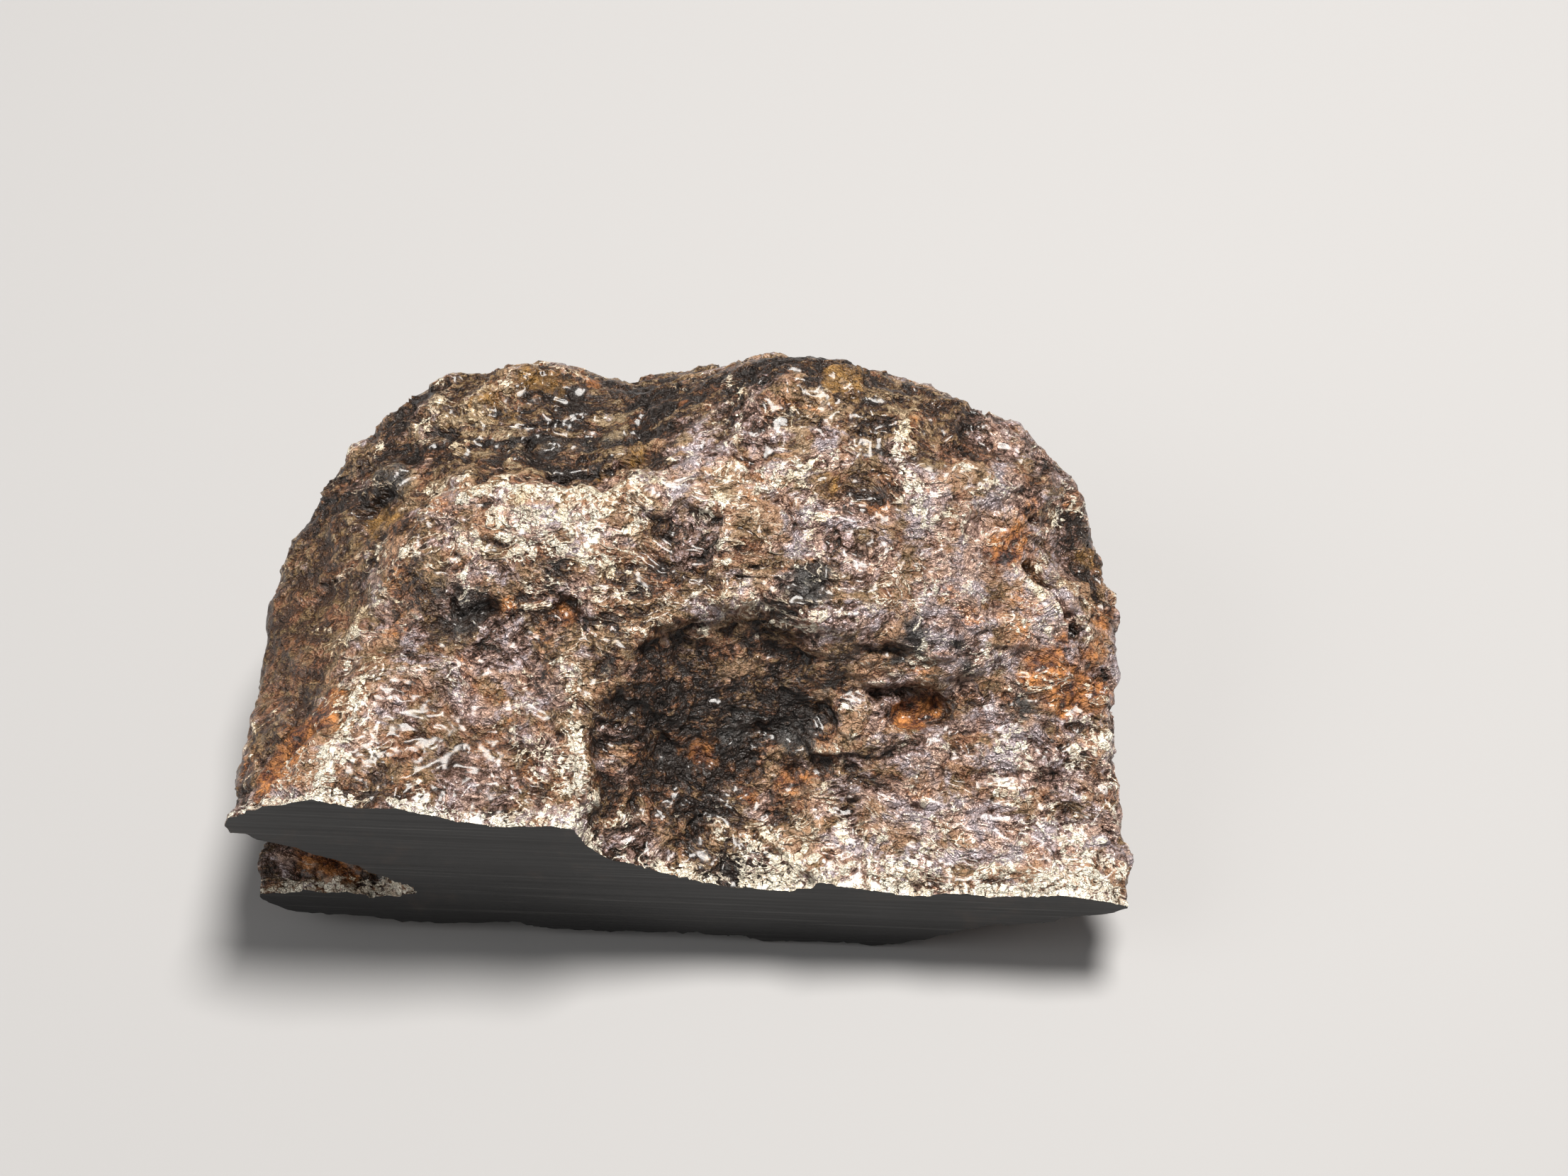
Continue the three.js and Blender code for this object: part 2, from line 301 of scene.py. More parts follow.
# Noise: how many slopes it draws on, its gain, and the whole numbers that scramble its cells
NOISE_SLOPES = 256
NOISE_GAIN = 1.7
HASH_X = 73856093
HASH_Y = 19349663
HASH_Z = 83492791
HASH_SEED = 2654435761
HASH_MIX = 1274126177
HASH_FIRST_SHIFT = 13
HASH_LAST_SHIFT = 16

# Chips: how many kinds there are, how far their centres stray in a cell, and how they step and tilt
CHIP_KINDS = 1024
CHIP_STRAY = 0.45
CHIP_STEP = 0.5
CHIP_TILT = 0.9


def rgb(red, green, blue):
    return (red, green, blue, 1.0)


# Colours of the crust and the sawn face
BLACK_RUST = rgb(0.015, 0.008, 0.005)
DARK_RUST = rgb(0.066, 0.029, 0.014)
RED_BROWN = rgb(0.21, 0.088, 0.042)
OLIVE_BROWN = rgb(0.18, 0.112, 0.05)
TAN_RUST = rgb(0.43, 0.245, 0.145)
TAN_EARTH = rgb(0.34, 0.245, 0.145)
DULL_IRON = rgb(0.235, 0.143, 0.118)
WARM_IRON = rgb(0.60, 0.41, 0.325)
COLD_IRON = rgb(0.485, 0.415, 0.44)
SLATE = rgb(0.085, 0.087, 0.086)
OCHRE = rgb(0.46, 0.25, 0.07)
RED_RUST = rgb(0.12, 0.030, 0.010)
ORANGE_RUST = rgb(0.62, 0.245, 0.065)
# Near-white bare iron that is partly a painted glint, and the golden tint of the painted glints on earthy
# places
BARE_IRON_AND_GLINT = rgb(1.0, 0.94, 0.79)
GOLD_GLINT = rgb(0.92, 0.70, 0.42)
# The sawn face's colours are kept nearly black, a painted shade and dark reflection over its satin grey
# iron
SAWN_DARK = rgb(0.008, 0.008, 0.0082)
SAWN_PALE = rgb(0.036, 0.0355, 0.036)
SAWN_MARK = rgb(0.020, 0.0192, 0.0188)
SAWN_STAIN = rgb(0.038, 0.024, 0.016)
SAWN_SCRATCH = rgb(0.13, 0.127, 0.122)

# Painted crumbs of the crust: name, size in millimetres, and the size and reach of what makes them ragged
CRUMBS = (
    ("small", 0.38, (0.35, 0.5)),
    ("large", 0.9, (0.35, 0.5)),
    ("chip", 0.7, (0.3, 0.3)),
)
CRUMB_BODY = (0.0, 0.16)
CRUMB_INSIDE = (0.03, 0.09)
CRUMB_CORE = (0.4, 0.6, (1.0, 0.0))
CRUMB_ROUNDING = 0.3

# How streaks drift: size and reach in millimetres, and detail
DRIFT = (6.0, 3.0, 1.0)

# Painted noise of the crust, with sizes in millimetres
CRUST_NOISE = {
    "fine": dict(size=0.32, rough=0.65, stretch=(0.8, 1.0, 1.0)),
    "shade": dict(size=1.4, rough=0.66, stretch=(0.7, 1.0, 1.0), warp=0.4),
    "broad": dict(size=4.5, rough=0.6, stretch=(0.8, 1.0, 1.0), warp=0.3),
    "folds": dict(size=1.0, rough=0.55, stretch=(0.55, 1.0, 1.0), warp=0.6),
    "fibres": dict(size=0.8, rough=0.6, stretch=(0.14, 1.0, 1.0), warp=0.3),
    "hues": dict(size=1.7, rough=0.62),
    "metal": dict(size=2.4, rough=0.66, stretch=(0.75, 1.0, 1.0), warp=0.3),
    "stains": dict(size=3.1, rough=0.68, stretch=(0.8, 1.0, 1.0), warp=0.2),
    "smears": dict(size=0.8, rough=0.62),
    "ragged": dict(size=0.9, rough=0.68),
    "clusters": dict(size=2.2, rough=0.7),
}

# How much each layer of the crust adds to what is painted with it
RUGGED_WEIGHTS = {"shade": 0.7, "fine": 0.3}
# In the tone, relief and crest paint raised chips and crests lighter, a painted highlight, while low
# places and the borders between crumbs come out darker, a painted shade
TONE_WEIGHTS = {
    "fine": 0.6,
    "shade": 0.9,
    "broad": 0.5,
    "small_red": 0.10,
    "large_red": 0.08,
    "crest": 0.10,
    "small_body": 0.08,
    "large_body": 0.08,
    "relief": 0.34,
    "wood": 1.3,
    "dark": -0.15,
    "rugged": 0.9,
    "earth": -0.06,
    "sheen": 0.21,
}
HUE_WEIGHTS = {"hues": 1.0, "earth": 0.06}
METAL_WEIGHTS = {"metal": 1.0, "sheen": 0.08, "dark": -0.1, "earth": -0.14, "fine": 0.15}
STAIN_WEIGHTS = {"stains": 1.0, "earth": -0.15}
SMEAR_WEIGHTS = {"smears": 0.85, "fine": 0.15}
# The spread puts more bright specks on raised places and crests, where they are painted glints
SPREAD_WEIGHTS = {
    "worn_and_glints": 0.26,
    "smooth": -0.07,
    "edge": 0.38,
    "relief": 0.24,
    "dark": -0.20,
    "earth": -0.06,
    "sheen": 0.05,
    "clusters": 1.2,
    "crest": 0.08,
}

# Steps of the crust's paint: where each starts and ends, and the range it maps to if not 0 to 1
RELIEF_STEP = (-0.5, 0.5)
CREST_STEP = (0.0, 0.10, (1.0, 0.0))
TONE_STEP = (1.12, 1.68)
HUE_STEP = (0.42, 0.58)
BROWN_STEP = (0.35, 0.65)
TAN_STEP = (0.65, 1.0)
IRON_STEP = (0.45, 0.95)
METAL_STEP = (0.53, 0.65)
STAIN_STEP = (0.54, 0.68, (0.0, 0.75))
STAIN_GRAIN = (0.35, 0.6)
COVER_STEP = (0.3, 0.8)
COVER_TONE = (0.1, 0.5, (0.6, 0.95))
FLECK_STEP = (1.23, 1.26)
BLOT_STEP = (1.32, 1.35)
THREAD_STEP = (0.006, 0.02, (0.9, 0.0))
THREAD_SPREAD = (0.78, 0.96)
TARNISH_STEP = (0.5, 1.0, (0.0, 0.5))
METALLIC_STEP = (0.1, 0.8, (0.1, 0.5))
ROUGH_STEP = (0.0, 1.0, (0.28, 0.5))

# Paints of the crust, from dark to light
OXIDE_RAMP = ((0.05, BLACK_RUST), (0.35, DARK_RUST))
METAL_RAMP = ((0.05, BLACK_RUST), (0.28, DARK_RUST), (0.52, DULL_IRON))
STAIN_RAMP = ((0.1, BLACK_RUST), (0.4, RED_RUST), (0.9, ORANGE_RUST))
COVER_RAMPS = {
    "slate": ((0.4, BLACK_RUST), (0.65, SLATE)),
    "ochre": ((0.36, DARK_RUST), (0.6, OCHRE)),
    "rust": ((0.36, BLACK_RUST), (0.42, RED_RUST), (0.58, ORANGE_RUST)),
}

# The rest of the crust's material
MIDDLE_TONE = 0.55
SMOOTH_FLATTENS = 0.5
COVER_RAGGED = 1.5
FLECK_SCATTER = 0.36
BLOT_SCATTER = 0.5
EARTHY_GOLD = 0.8
FLECK_METALLIC = 0.25
FLECK_ROUGHNESS = 0.24
RUST_ROUGHNESS = 0.7
COAT_WEIGHT = 0.35
COAT_ROUGHNESS = 0.17

# Bumps of the crust, each over the one before: layer, and depth in millimetres
CRUST_BUMPS = (
    ("fine", 0.10),
    ("small_height", 0.12),
    ("crest", 0.18),
    ("large_height", 0.34),
    ("shade", 0.5),
)

# Sawn face, with sizes in millimetres
CLOUDS = dict(size=8.0, rough=0.55)
SAW_MARKS = dict(size=0.5, rough=0.6, stretch=(0.02, 1.0, 1.6))
SCRATCHES = dict(size=0.16, detail=2.0, rough=0.5, stretch=(0.012, 1.0, 1.0), warp=0.3)
FACE_STAINS = dict(size=4.0, detail=6.0, rough=0.65)
CLOUD_STEP = (0.3, 0.7)
SCRATCH_STEP = (0.60, 0.70)
FACE_STAIN_STEP = (0.55, 0.72, (0.0, 0.6))
MARK_STRENGTH = 0.35
SCRATCH_STRENGTH = 0.3
DARK_METALLIC = 0.15
PALE_METALLIC = 0.4
STAIN_METALLIC = 0.05
FACE_ROUGH_STEP = (0.3, 0.7, (0.34, 0.5))
MARK_DEPTH = 0.012

# Floor, lights and world, in metres and watts: a light has a name, place, size, power and colour
FLOOR_HALF = 0.6
FLOOR_COLOUR = rgb(0.38, 0.38, 0.385)
FLOOR_ROUGHNESS = 0.7
LIGHT_AIM = (0.0, 0.0, 0.01)
LIGHTS = (
    ("key", (0.08, 0.10, 0.44), 0.16, 3.7, (1.0, 0.96, 0.91)),
    ("fill", (-0.40, -0.12, 0.32), 0.4, 0.75, (1.0, 0.98, 0.95)),
)
WORLD_COLOUR = rgb(0.83, 0.82, 0.81)
WORLD_STRENGTH = 0.19
NEAR_CLIP = 0.005


def view_direction():
    """Direction from the lump to the camera."""
    azimuth = math.radians(VIEW_AZIMUTH)
    elevation = math.radians(VIEW_ELEVATION)
    level = math.cos(elevation)
    return level * math.sin(azimuth), -level * math.cos(azimuth), math.sin(elevation)


def scramble(cells, seed):
    """A repeatable large whole number for each cell of a lattice."""
    x, y, z = cells.T
    mixed = (x * HASH_X) ^ (y * HASH_Y) ^ (z * HASH_Z) ^ (seed * HASH_SEED)
    mixed = (mixed ^ (mixed >> HASH_FIRST_SHIFT)) * HASH_MIX
    return np.abs(mixed ^ (mixed >> HASH_LAST_SHIFT))


def noise(points, size, seed):
    """Smooth noise from about -1 to 1, with lumps of that size in millimetres."""
    rng = np.random.default_rng(seed)
    slopes = rng.normal(size=(NOISE_SLOPES, 3))
    slopes /= np.linalg.norm(slopes, axis=1)[:, None]
    cell = np.floor(points / size).astype(np.int64)
    part = points / size - cell
    fade = part**3 * (part * (part * 6 - 15) + 10)
    height = np.zeros(len(points))
    for corner in itertools.product((0, 1), repeat=3):
        slope = slopes[scramble(cell + corner, seed) % NOISE_SLOPES]
        weight = np.prod(np.where(corner, fade, 1 - fade), axis=1)
        height += weight * np.sum(slope * (part - corner), axis=1)
    return height * NOISE_GAIN


def plates(points, size, seed):
    """Height of a broken surface of tilted chips of that size, from about -1 to 1."""
    rng = np.random.default_rng(seed)
    kinds = rng.uniform(-1, 1, size=(CHIP_KINDS, 7))
    scaled = points / size
    cell = np.floor(scaled).astype(np.int64)
    nearest = np.full(len(points), np.inf)
    height = np.zeros(len(points))
    for offset in itertools.product((-1, 0, 1), repeat=3):
        kind = kinds[scramble(cell + offset, seed) % CHIP_KINDS]
        stray = kind[:, :3]
        step = kind[:, 3]
        slope = kind[:, 4:]
        away = scaled - (cell + offset + MIDDLE + CHIP_STRAY * stray)
        distance = np.einsum("ij,ij->i", away, away)
        closer = distance < nearest
        nearest = np.where(closer, distance, nearest)
        tilted = CHIP_STEP * step + CHIP_TILT * np.einsum("ij,ij->i", away, slope)
        height = np.where(closer, tilted, height)
    return height


def pushed(points, size, reach, seed):
    """Points pushed about by noise of that size, by up to about that reach, in millimetres."""
    return points + reach * np.stack([noise(points, size, seed + i) for i in range(3)], axis=1)


def off_line(points, line):
    """Distance of each point from a line of straight pieces."""
    nearest = np.full(len(points), np.inf)
    for start, end in zip(np.array(line[:-1]), np.array(line[1:])):
        along = end - start
        part = np.clip((points - start) @ along / (along @ along), 0, 1)
        away = np.linalg.norm(points - start - part[:, None] * along, axis=1)
        nearest = np.minimum(nearest, away)
    return nearest


def tint_strength(points, patches):
    """How much of a tint each point takes, from 0 to 1, from the patches of that tint."""
    uneven = 1 + PATCH_UNEVEN * noise(points, PATCH_NOISE, PATCH_SEED)
    strength = np.zeros(len(points))
    for centre, radius, amount in patches:
        away = np.linalg.norm(points - np.array(centre), axis=1) * uneven / radius
        strength += amount * np.exp(-away**2)
    return np.clip(strength, 0, 1)


def crust_relief(points):
    """Height of the crust above the CAD surface, in millimetres."""
    warped = pushed(points, WARP_SIZE, WARP_REACH, WARP_SEED) * CHIP_STRETCH
    wandering = pushed(points, WANDER_SIZE, WANDER_REACH, WANDER_SEED)
    relief = sum(height * plates(warped, size, seed) for size, height, seed in PLATES)
    for size, height, seed in CRESTS:
        relief += height * (CREST_LEVEL - CREST_SLOPE * np.abs(noise(warped, size, seed)))
    for size, height, seed in GRAINS:
        relief += height * noise(points, size, seed)
    relief *= 1 - SMOOTHING * tint_strength(points, PATCHES["smooth"])
    for line, half_width, height, _ in RIDGES:
        relief += height * np.exp(-off_line(wandering, line) / half_width)
    for line, half_width, depth in GROOVES:
        relief -= depth * np.exp(-(off_line(wandering, line) / half_width)**2)
    for centre, radius, depth in DENTS:
        relief -= depth * np.exp(-(np.linalg.norm(points - centre, axis=1) / radius)**DENT_STEEPNESS)
    return relief


def bare_edges_and_glints(points, normals, cut):
    """Bare metal with painted glints: a strip along the upper edge of the cut and a scatter behind it,
    only where the surface faces up to the lamp, and lines along the ridges.
    """
    from_cut = np.maximum(points[:, 1] - cut, 0)
    to_right = np.clip(SCATTER_MIDDLE + SCATTER_TO_RIGHT * points[:, 0], SCATTER_LEAST, 1)
    uneven = 1 + RIM_UNEVEN * noise(points, RIM_NOISE, RIM_SEED)
    strip = STRIP_SHINE * uneven * np.exp(-(from_cut / STRIP_WIDTH)**2)
    scatter = SCATTER_SHINE * np.exp(-from_cut / (SCATTER_REACH * to_right * uneven))
    # Only faces that point up keep the strip and scatter, lit from above as a painted glint
    bare = np.maximum(strip, scatter) * np.clip(normals[:, 2] * RIM_UPWARD, 0, 1)
    wandering = pushed(points, WANDER_SIZE, WANDER_REACH, WANDER_SEED)
    for line, half_width, _, shine in RIDGES:
        near = off_line(wandering, line) / half_width
        bare = np.maximum(bare, shine * np.exp(-(RIDGE_NARROWING * near)**2))
    return bare


def modified(mesh, kind, group=(), **settings):
    """A copy of the mesh with one modifier applied, limited to a group of points if one is given."""
    carrier = bpy.data.objects.new("carrier", mesh)
    bpy.context.collection.objects.link(carrier)
    modifier = carrier.modifiers.new("step", kind)
    for key, value in settings.items():
        setattr(modifier, key, value)
    if len(group):
        carrier.vertex_groups.new(name="chosen").add(group, 1.0, "REPLACE")
        modifier.vertex_group = "chosen"
    graph = bpy.context.evaluated_depsgraph_get()
    result = bpy.data.meshes.new_from_object(carrier.evaluated_get(graph))
    bpy.data.objects.remove(carrier)
    return result


def thin_out(mesh, normals):
    """Joins small triangles on the sides that face away from the view, where less detail shows."""
    triangles = sum(len(face.vertices) - 2 for face in mesh.polygons)
    hidden = np.flatnonzero(normals @ np.array(view_direction()) < 0)
    return modified(mesh, "DECIMATE", hidden.tolist(), ratio=TRIANGLES / triangles)


def read(mesh, what):
    values = np.empty(len(mesh.vertices) * 3)
    mesh.vertices.foreach_get(what, values)
    return values.reshape(-1, 3)


def write(mesh, points):
    mesh.vertices.foreach_set("co", (points * MM).ravel())
    mesh.update()


def store(mesh, name, values):
    layer = mesh.attributes.new(name, "FLOAT", "POINT")
    layer.data.foreach_set("value", values.astype(np.float32))


def draw_out(mesh, cut):
    """Moves the sawn face forward, so that the crust can be shaped before it is sawn again."""
    points = read(mesh, "co") / MM
    points[points[:, 1] < cut + SAW_NEAR, 1] -= SAW_OVERRUN
    write(mesh, points)
    return points


def saw(mesh, cut):
    """Saws the shaped lump flat again, and gives the sawn face its own material slot."""
    work = bmesh.new()
    work.from_mesh(mesh)
    everything = [*work.verts, *work.edges, *work.faces]
    plane = Vector((0, cut * MM, 0))
    bmesh.ops.bisect_plane(work, geom=everything, plane_co=plane, plane_no=(0, -1, 0), clear_outer=True)
    for face in work.faces:
        face.smooth = True
    rim = [edge for edge in work.edges if edge.is_boundary]
    filled = bmesh.ops.holes_fill(work, edges=rim, sides=0)["faces"]
    for face in filled:
        face.material_index = 1
        face.smooth = False
    bmesh.ops.triangulate(work, faces=filled)
    for edge in rim:
        edge.smooth = False
    work.to_mesh(mesh)
    work.free()


def sculpt(materials):
    """The finished mesh of the lump, with its crust and sawn materials."""
    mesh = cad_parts["meteorite"].data.copy()
    mesh = modified(mesh, "REMESH", mode="VOXEL", voxel_size=VOXEL * MM)
    mesh.materials.clear()
    for material in materials:
        mesh.materials.append(material)
    cut = CAD_BOX[0].y / MM
    points = draw_out(mesh, cut)
    normals = read(mesh, "normal")
    relief = crust_relief(points)
    write(mesh, points + normals * relief[:, None])
    store(mesh, "relief", relief)
    for tint, patches in PATCHES.items():
        store(mesh, tint, tint_strength(points, patches))
    store(mesh, "edge", bare_edges_and_glints(points, normals, cut))
    mesh = thin_out(mesh, normals)
    points = read(mesh, "co") / MM
    points[:, 2] = np.maximum(points[:, 2], 0)
    write(mesh, points)
    saw(mesh, cut)
    return mesh


class Nodes:
    """Short ways to add shader nodes to one material."""

    def __init__(self, name):
        self.material = bpy.data.materials.new(name)
        self.material.use_nodes = True
        self.tree = self.material.node_tree
        self.shader = self.tree.nodes["Principled BSDF"]
        self.place = self.add("ShaderNodeTexCoord").outputs["Object"]

    def add(self, kind, **settings):
        node = self.tree.nodes.new(kind)
        for key, value in settings.items():
            setattr(node, key, value)
        return node

    def put(self, socket, value):
        """Links a socket to another, or sets its value."""
        if isinstance(value, bpy.types.NodeSocket):
            self.tree.links.new(value, socket)
        else:
            socket.default_value = value

    def paint(self, **settings):
        """Sets the shader's inputs by name, with _ for a space, and gives the material."""
        for name, value in settings.items():
            self.put(self.shader.inputs[name.replace("_", " ")], value)
        return self.material

    def attribute(self, name):
        return self.add("ShaderNodeAttribute", attribute_name=name).outputs["Fac"]

    def noise(self, size, detail=4.0, rough=0.6, stretch=(1.0, 1.0, 1.0), warp=0.0):
        """Noise from 0 to 1 with lumps of that size in millimetres."""
        scaled = self.add("ShaderNodeMapping")
        self.put(scaled.inputs["Vector"], self.place)
        scaled.inputs["Scale"].default_value = stretch
        texture = self.add("ShaderNodeTexNoise")
        self.put(texture.inputs["Vector"], scaled.outputs["Vector"])
        texture.inputs["Scale"].default_value = 1 / (size * MM)
        texture.inputs["Detail"].default_value = detail
        texture.inputs["Roughness"].default_value = rough
        texture.inputs["Distortion"].default_value = warp
        return texture.outputs["Fac"]

    def between(self, value, low, high, to=(0.0, 1.0)):
        """Maps low..high to the range given, smoothly and clamped."""
        node = self.add("ShaderNodeMapRange", interpolation_type="SMOOTHSTEP")
        self.put(node.inputs["Value"], value)
        node.inputs["From Min"].default_value = low
        node.inputs["From Max"].default_value = high
        node.inputs["To Min"].default_value = to[0]
        node.inputs["To Max"].default_value = to[1]
        return node.outputs["Result"]

    def math(self, operation, *values):
        node = self.add("ShaderNodeMath", operation=operation)
        for socket, value in zip(node.inputs, values):
            self.put(socket, value)
        return node.outputs[0]

    def vector(self, operation, *values):
        node = self.add("ShaderNodeVectorMath", operation=operation)
        for socket, value in zip(node.inputs, values):
            self.put(socket, value)
        return node.outputs["Value" if operation == "DOT_PRODUCT" else "Vector"]

    def total(self, layers, weights):
        """Sum of the named layers, each times its weight."""
        result = 0.0
        for name, weight in weights.items():
            result = self.math("ADD", self.math("MULTIPLY", layers[name], weight), result)
        return result

    def swing(self, amount, value):
        """How far a value is from the middle of its range, times an amount."""
        return self.math("MULTIPLY", amount, self.math("SUBTRACT", value, MIDDLE))

    def mix(self, amount, first, second, kind="RGBA"):
        """Mixes two colours."""
        node = self.add("ShaderNodeMix", data_type=kind)
        self.put(node.inputs["Factor"], amount)
        self.put(node.inputs["A"], first)
        self.put(node.inputs["B"], second)
        return node.outputs["Result"]

    def blend(self, amount, first, second):
        """Mixes two numbers."""
        return self.mix(amount, first, second, "FLOAT")

    def ramp(self, value, *stops):
        node = self.add("ShaderNodeValToRGB")
        self.put(node.inputs["Fac"], value)
        points = node.color_ramp.elements
        while len(points) < len(stops):
            points.new(MIDDLE)
        for point, (where, colour) in zip(points, stops):
            point.position = where
            point.color = colour
        return node.outputs["Color"]

    def bump(self, height, depth, normal=None):
        node = self.add("ShaderNodeBump")
        self.put(node.inputs["Height"], height)
        node.inputs["Distance"].default_value = depth * MM
        node.inputs["Strength"].default_value = 1.0
        if normal is not None:
            self.put(node.inputs["Normal"], normal)
        return node.outputs["Normal"]


def warped_place(n, size, reach, detail=3.0):
    """The surface point pushed about by noise, so that streaks wander and chips get ragged edges."""
    texture = n.add("ShaderNodeTexNoise")
    n.put(texture.inputs["Vector"], n.place)
    texture.inputs["Scale"].default_value = 1 / (size * MM)
    texture.inputs["Detail"].default_value = detail
    return n.vector("MULTIPLY_ADD", texture.outputs["Color"], (reach * MM,) * 3, n.place)


def crumbs(n, name, size, place):
    """Layers of broken crumbs of one size: three random numbers for each crumb, and its shape."""
    scaled = n.vector("MULTIPLY", place, (1 / (size * MM),) * 3)
    cells = n.add("ShaderNodeTexVoronoi")
    borders = n.add("ShaderNodeTexVoronoi", feature="DISTANCE_TO_EDGE")
    for texture in (cells, borders):
        n.put(texture.inputs["Vector"], scaled)
        texture.inputs["Scale"].default_value = 1.0
    away = n.vector("SUBTRACT", scaled, cells.outputs["Position"])
    tilt = n.vector("SUBTRACT", cells.outputs["Color"], (MIDDLE,) * 3)
    slope = n.vector("DOT_PRODUCT", away, tilt)
    split = n.add("ShaderNodeSeparateColor")
    n.put(split.inputs["Color"], cells.outputs["Color"])
    body = n.between(borders.outputs["Distance"], *CRUMB_BODY)
    return {
        name + "_red": split.outputs["Red"],
        name + "_green": split.outputs["Green"],
        name + "_blue": split.outputs["Blue"],
        name + "_body": body,
        name + "_inside": n.between(borders.outputs["Distance"], *CRUMB_INSIDE),
        name + "_core": n.between(cells.outputs["Distance"], *CRUMB_CORE),
        name + "_height": n.math("MULTIPLY_ADD", body, CRUMB_ROUNDING, slope),
    }


def crust_layers(n):
    """The layers that the crust's paint and bumps are made of, by name."""
    layers = {tint: n.attribute(tint) for tint in (*PATCHES, "edge")}
    layers["relief"] = n.between(n.attribute("relief"), *RELIEF_STEP)
    for name, size, ragged in CRUMBS:
        layers.update(crumbs(n, name, size, warped_place(n, *ragged)))
    n.place = warped_place(n, *DRIFT)
    for name, settings in CRUST_NOISE.items():
        layers[name] = n.noise(**settings)
    layers["crease"] = n.math("ABSOLUTE", n.math("SUBTRACT", layers["folds"], MIDDLE))
    layers["crest"] = n.between(layers["crease"], *CREST_STEP)
    layers["rugged"] = n.swing(layers["dark"], n.total(layers, RUGGED_WEIGHTS))
    layers["wood"] = n.swing(layers["streak"], layers["fibres"])
    return layers


def crust_tone(n, layers):
    """Light and dark of the crust, from 0 to 1, partly painted shade in low places and painted highlight
    on high ones, with less contrast where it is smooth.
    """
    tone = n.between(n.total(layers, TONE_WEIGHTS), *TONE_STEP)
    contrast = n.math("SUBTRACT", 1.0, n.math("MULTIPLY", layers["smooth"], SMOOTH_FLATTENS))
    return n.math("MULTIPLY_ADD", n.math("SUBTRACT", tone, MIDDLE_TONE), contrast, MIDDLE_TONE)


def oxide_paint(n, layers, tone, hue):
    """Oxide: black, then red or olive brown, then tan."""
    brown = n.mix(hue, RED_BROWN, OLIVE_BROWN)
    brown = n.mix(n.between(tone, *BROWN_STEP), n.ramp(tone, *OXIDE_RAMP), brown)
    return n.mix(n.between(tone, *TAN_STEP), brown, n.mix(layers["earth"], TAN_RUST, TAN_EARTH))


def metal_paint(n, tone, hue):
    """Metal that shows through the oxide: black, then dull, then warm or cold grey."""
    iron = n.mix(hue, WARM_IRON, COLD_IRON)
    return n.mix(n.between(tone, *IRON_STEP), n.ramp(tone, *METAL_RAMP), iron)


def stained(n, layers, tone, colour):
    """The colour with red stains of rust over it."""
    stain = n.between(n.total(layers, STAIN_WEIGHTS), *STAIN_STEP)
    stain = n.math("MULTIPLY", stain, n.between(layers["fine"], *STAIN_GRAIN))
    return n.mix(stain, colour, n.ramp(tone, *STAIN_RAMP))


def covered(n, layers, tone, colour):
    """The colour under slate, ochre and rust patches, and how much the rust, which is last, covers."""
    smear = n.total(layers, SMEAR_WEIGHTS)
    for tint, stops in COVER_RAMPS.items():
        reach = n.math("ADD", layers[tint], n.swing(COVER_RAGGED, layers["ragged"]))
        cover = n.math("MULTIPLY", n.between(reach, *COVER_STEP), n.between(tone, *COVER_TONE))
        colour = n.mix(cover, colour, n.ramp(smear, *stops))
    return colour, cover


def bare_specks_and_glints(n, layers):
    """Where bare iron and painted glints show: small flecks, larger blots, and threads of painted
    highlight along the creases.
    """
    spread = n.total(layers, SPREAD_WEIGHTS)
    fleck = n.between(n.math("MULTIPLY_ADD", layers["small_green"], FLECK_SCATTER, spread), *FLECK_STEP)
    fleck = n.math("MULTIPLY", fleck, layers["small_core"])
    blot = n.between(n.math("MULTIPLY_ADD", layers["chip_green"], BLOT_SCATTER, spread), *BLOT_STEP)
    blot = n.math("MULTIPLY", blot, layers["chip_inside"])
    thread = n.between(layers["crease"], *THREAD_STEP)
    thread = n.math("MULTIPLY", thread, n.between(spread, *THREAD_SPREAD))
    return n.math("MAXIMUM", n.math("MAXIMUM", fleck, blot), thread)


def speck_paint(n, layers):
    """Bare iron and painted glints, more golden on earthy places, and tarnished to tan in some of the
    crumbs.
    """
    glint = n.mix(n.math("MULTIPLY", layers["earth"], EARTHY_GOLD), BARE_IRON_AND_GLINT, GOLD_GLINT)
    return n.mix(n.between(layers["small_blue"], *TARNISH_STEP), glint, TAN_RUST)


def crust_material():
    """Rusty crust: brown and black oxide, grey metal, orange pits, bright specks of bare iron and painted
    glints, and painted shade in its hollows and gaps.
    """
    n = Nodes("rusty_crust")
    layers = crust_layers(n)
    tone = crust_tone(n, layers)
    hue = n.between(n.total(layers, HUE_WEIGHTS), *HUE_STEP)
    bare = n.between(n.total(layers, METAL_WEIGHTS), *METAL_STEP)
    colour = n.mix(bare, oxide_paint(n, layers, tone, hue), metal_paint(n, tone, hue))
    colour = stained(n, layers, tone, colour)
    colour, rust = covered(n, layers, tone, colour)
    bright = bare_specks_and_glints(n, layers)
    colour = n.mix(bright, colour, speck_paint(n, layers))
    metal = n.math("MULTIPLY", n.between(tone, *METALLIC_STEP), bare)
    metal = n.blend(bright, metal, FLECK_METALLIC)
    metal = n.math("MULTIPLY", metal, n.math("SUBTRACT", 1.0, rust))
    rough = n.blend(bright, n.between(layers["small_blue"], *ROUGH_STEP), FLECK_ROUGHNESS)
    rough = n.blend(rust, rough, RUST_ROUGHNESS)
    normal = None
    for layer, depth in CRUST_BUMPS:
        normal = n.bump(layers[layer], depth, normal)
    n.paint(Base_Color=colour, Metallic=metal, Roughness=rough, Normal=normal)
    return n.paint(Coat_Weight=COAT_WEIGHT, Coat_Roughness=COAT_ROUGHNESS)


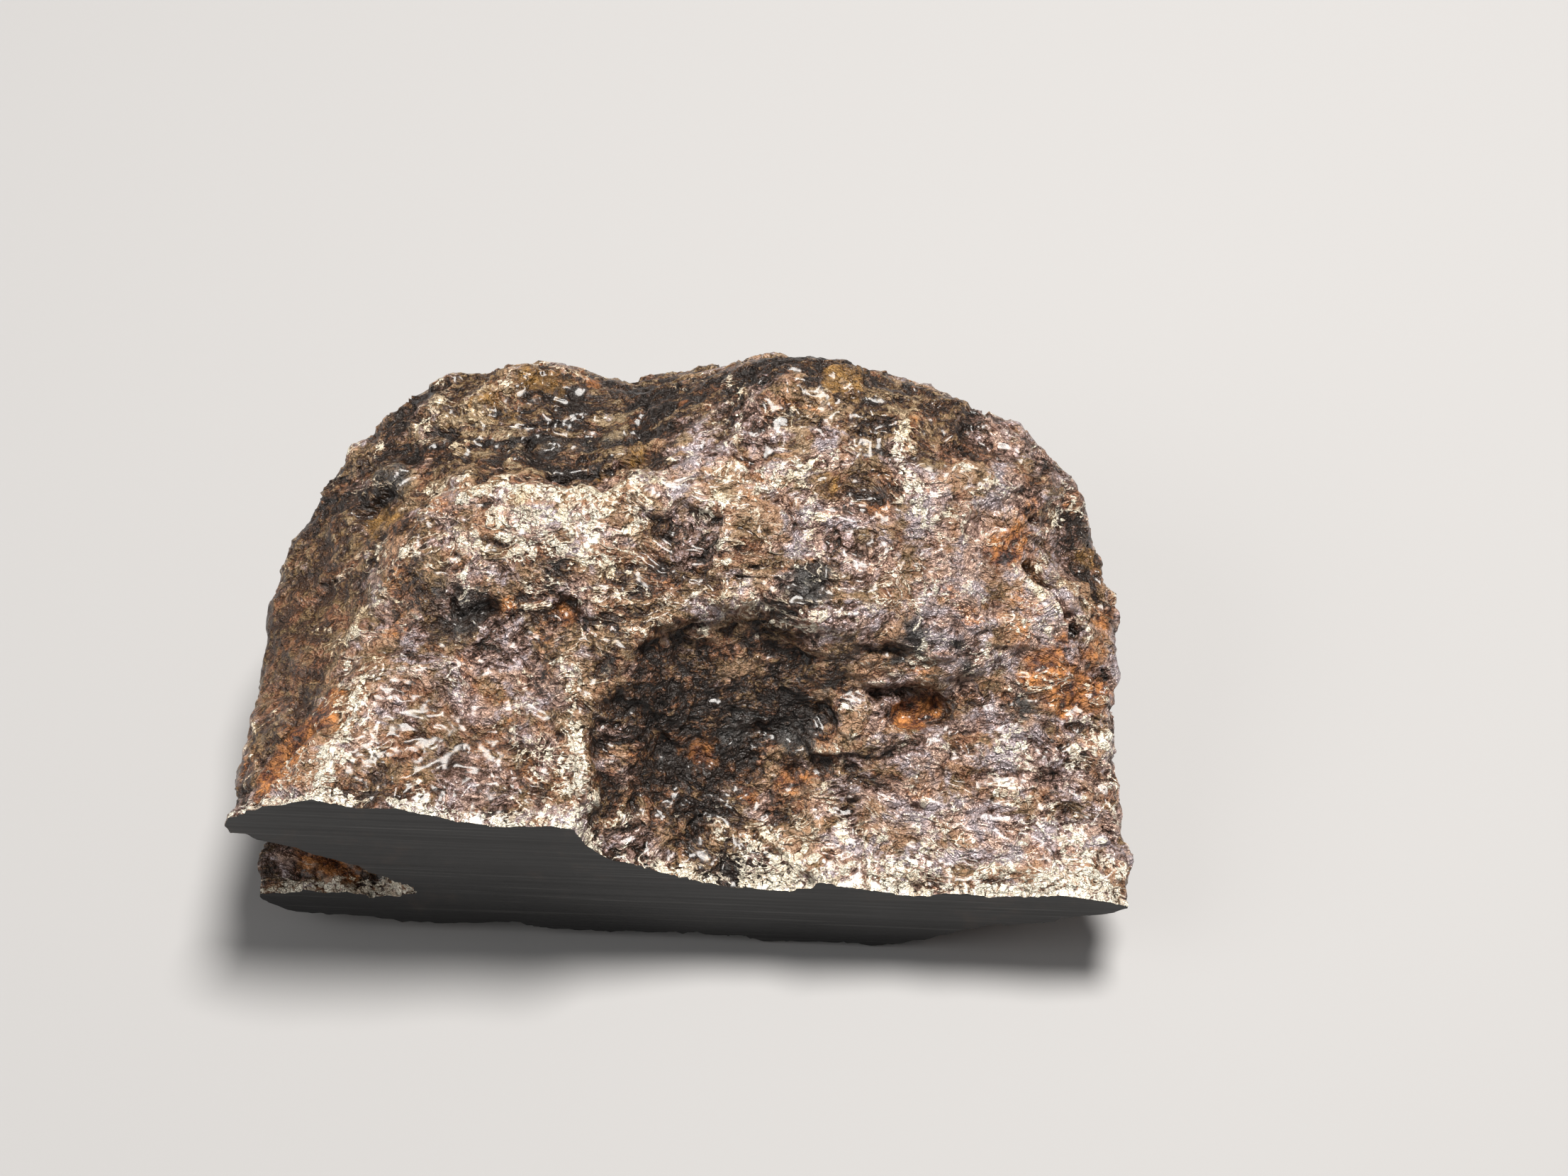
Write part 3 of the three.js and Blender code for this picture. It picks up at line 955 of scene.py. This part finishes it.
def sawn_material():
    """Sawn face: satin iron painted nearly black, a painted shade and dark reflection, with cloudy
    patches, faint saw marks, scratches and thin brown stains.
    """
    n = Nodes("sawn_iron_in_painted_shade")
    cloud = n.between(n.noise(**CLOUDS), *CLOUD_STEP)
    marks = n.noise(**SAW_MARKS)
    scratch = n.between(n.noise(**SCRATCHES), *SCRATCH_STEP)
    stain = n.between(n.noise(**FACE_STAINS), *FACE_STAIN_STEP)
    colour = n.mix(cloud, SAWN_DARK, SAWN_PALE)
    colour = n.mix(n.math("MULTIPLY", marks, MARK_STRENGTH), colour, SAWN_MARK)
    colour = n.mix(stain, colour, SAWN_STAIN)
    colour = n.mix(n.math("MULTIPLY", scratch, SCRATCH_STRENGTH), colour, SAWN_SCRATCH)
    metal = n.blend(stain, n.blend(cloud, DARK_METALLIC, PALE_METALLIC), STAIN_METALLIC)
    rough = n.between(marks, *FACE_ROUGH_STEP)
    normal = n.bump(marks, MARK_DEPTH)
    return n.paint(Base_Color=colour, Metallic=metal, Roughness=rough, Normal=normal)


def build_meteorite():
    mesh = sculpt((crust_material(), sawn_material()))
    piece = bpy.data.objects.new("meteorite_lump", mesh)
    bpy.context.collection.objects.link(piece)
    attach(piece, "root")
    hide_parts("meteorite")


def build_floor():
    mesh = bpy.data.meshes.new("floor")
    half = FLOOR_HALF
    corners = [(-half, -half, 0), (half, -half, 0), (half, half, 0), (-half, half, 0)]
    mesh.from_pydata(corners, [], [(0, 1, 2, 3)])
    floor = bpy.data.objects.new("floor", mesh)
    bpy.context.collection.objects.link(floor)
    mesh.materials.append(Nodes("pale_floor").paint(Base_Color=FLOOR_COLOUR, Roughness=FLOOR_ROUGHNESS))


def area_light(name, place, size, power, colour):
    light = bpy.data.lights.new(name, "AREA")
    light.shape = "DISK"
    light.size = size
    light.energy = power
    light.color = colour
    lamp = bpy.data.objects.new(name, light)
    lamp.location = place
    lamp.rotation_euler = (Vector(LIGHT_AIM) - Vector(place)).to_track_quat("-Z", "Y").to_euler()
    bpy.context.collection.objects.link(lamp)


def build_lights():
    for light in LIGHTS:
        area_light(*light)
    world = bpy.data.worlds.new("studio")
    world.use_nodes = True
    background = world.node_tree.nodes["Background"]
    background.inputs["Color"].default_value = WORLD_COLOUR
    background.inputs["Strength"].default_value = WORLD_STRENGTH
    bpy.context.scene.world = world


def build_camera():
    back = Vector(view_direction())
    lens = bpy.data.cameras.new("view")
    lens.sensor_width = SENSOR
    lens.lens = SENSOR * VIEW_DISTANCE / VIEW_WIDTH
    lens.clip_start = NEAR_CLIP
    camera = bpy.data.objects.new("view", lens)
    camera.location = (Vector(VIEW_TARGET) + back * VIEW_DISTANCE) * MM
    camera.rotation_euler = back.to_track_quat("Z", "Y").to_euler()
    bpy.context.collection.objects.link(camera)
    bpy.context.scene.camera = camera


build_meteorite()
build_floor()
build_lights()
build_camera()
bpy.context.scene.view_settings.view_transform = "Standard"
bpy.context.view_layer.update()
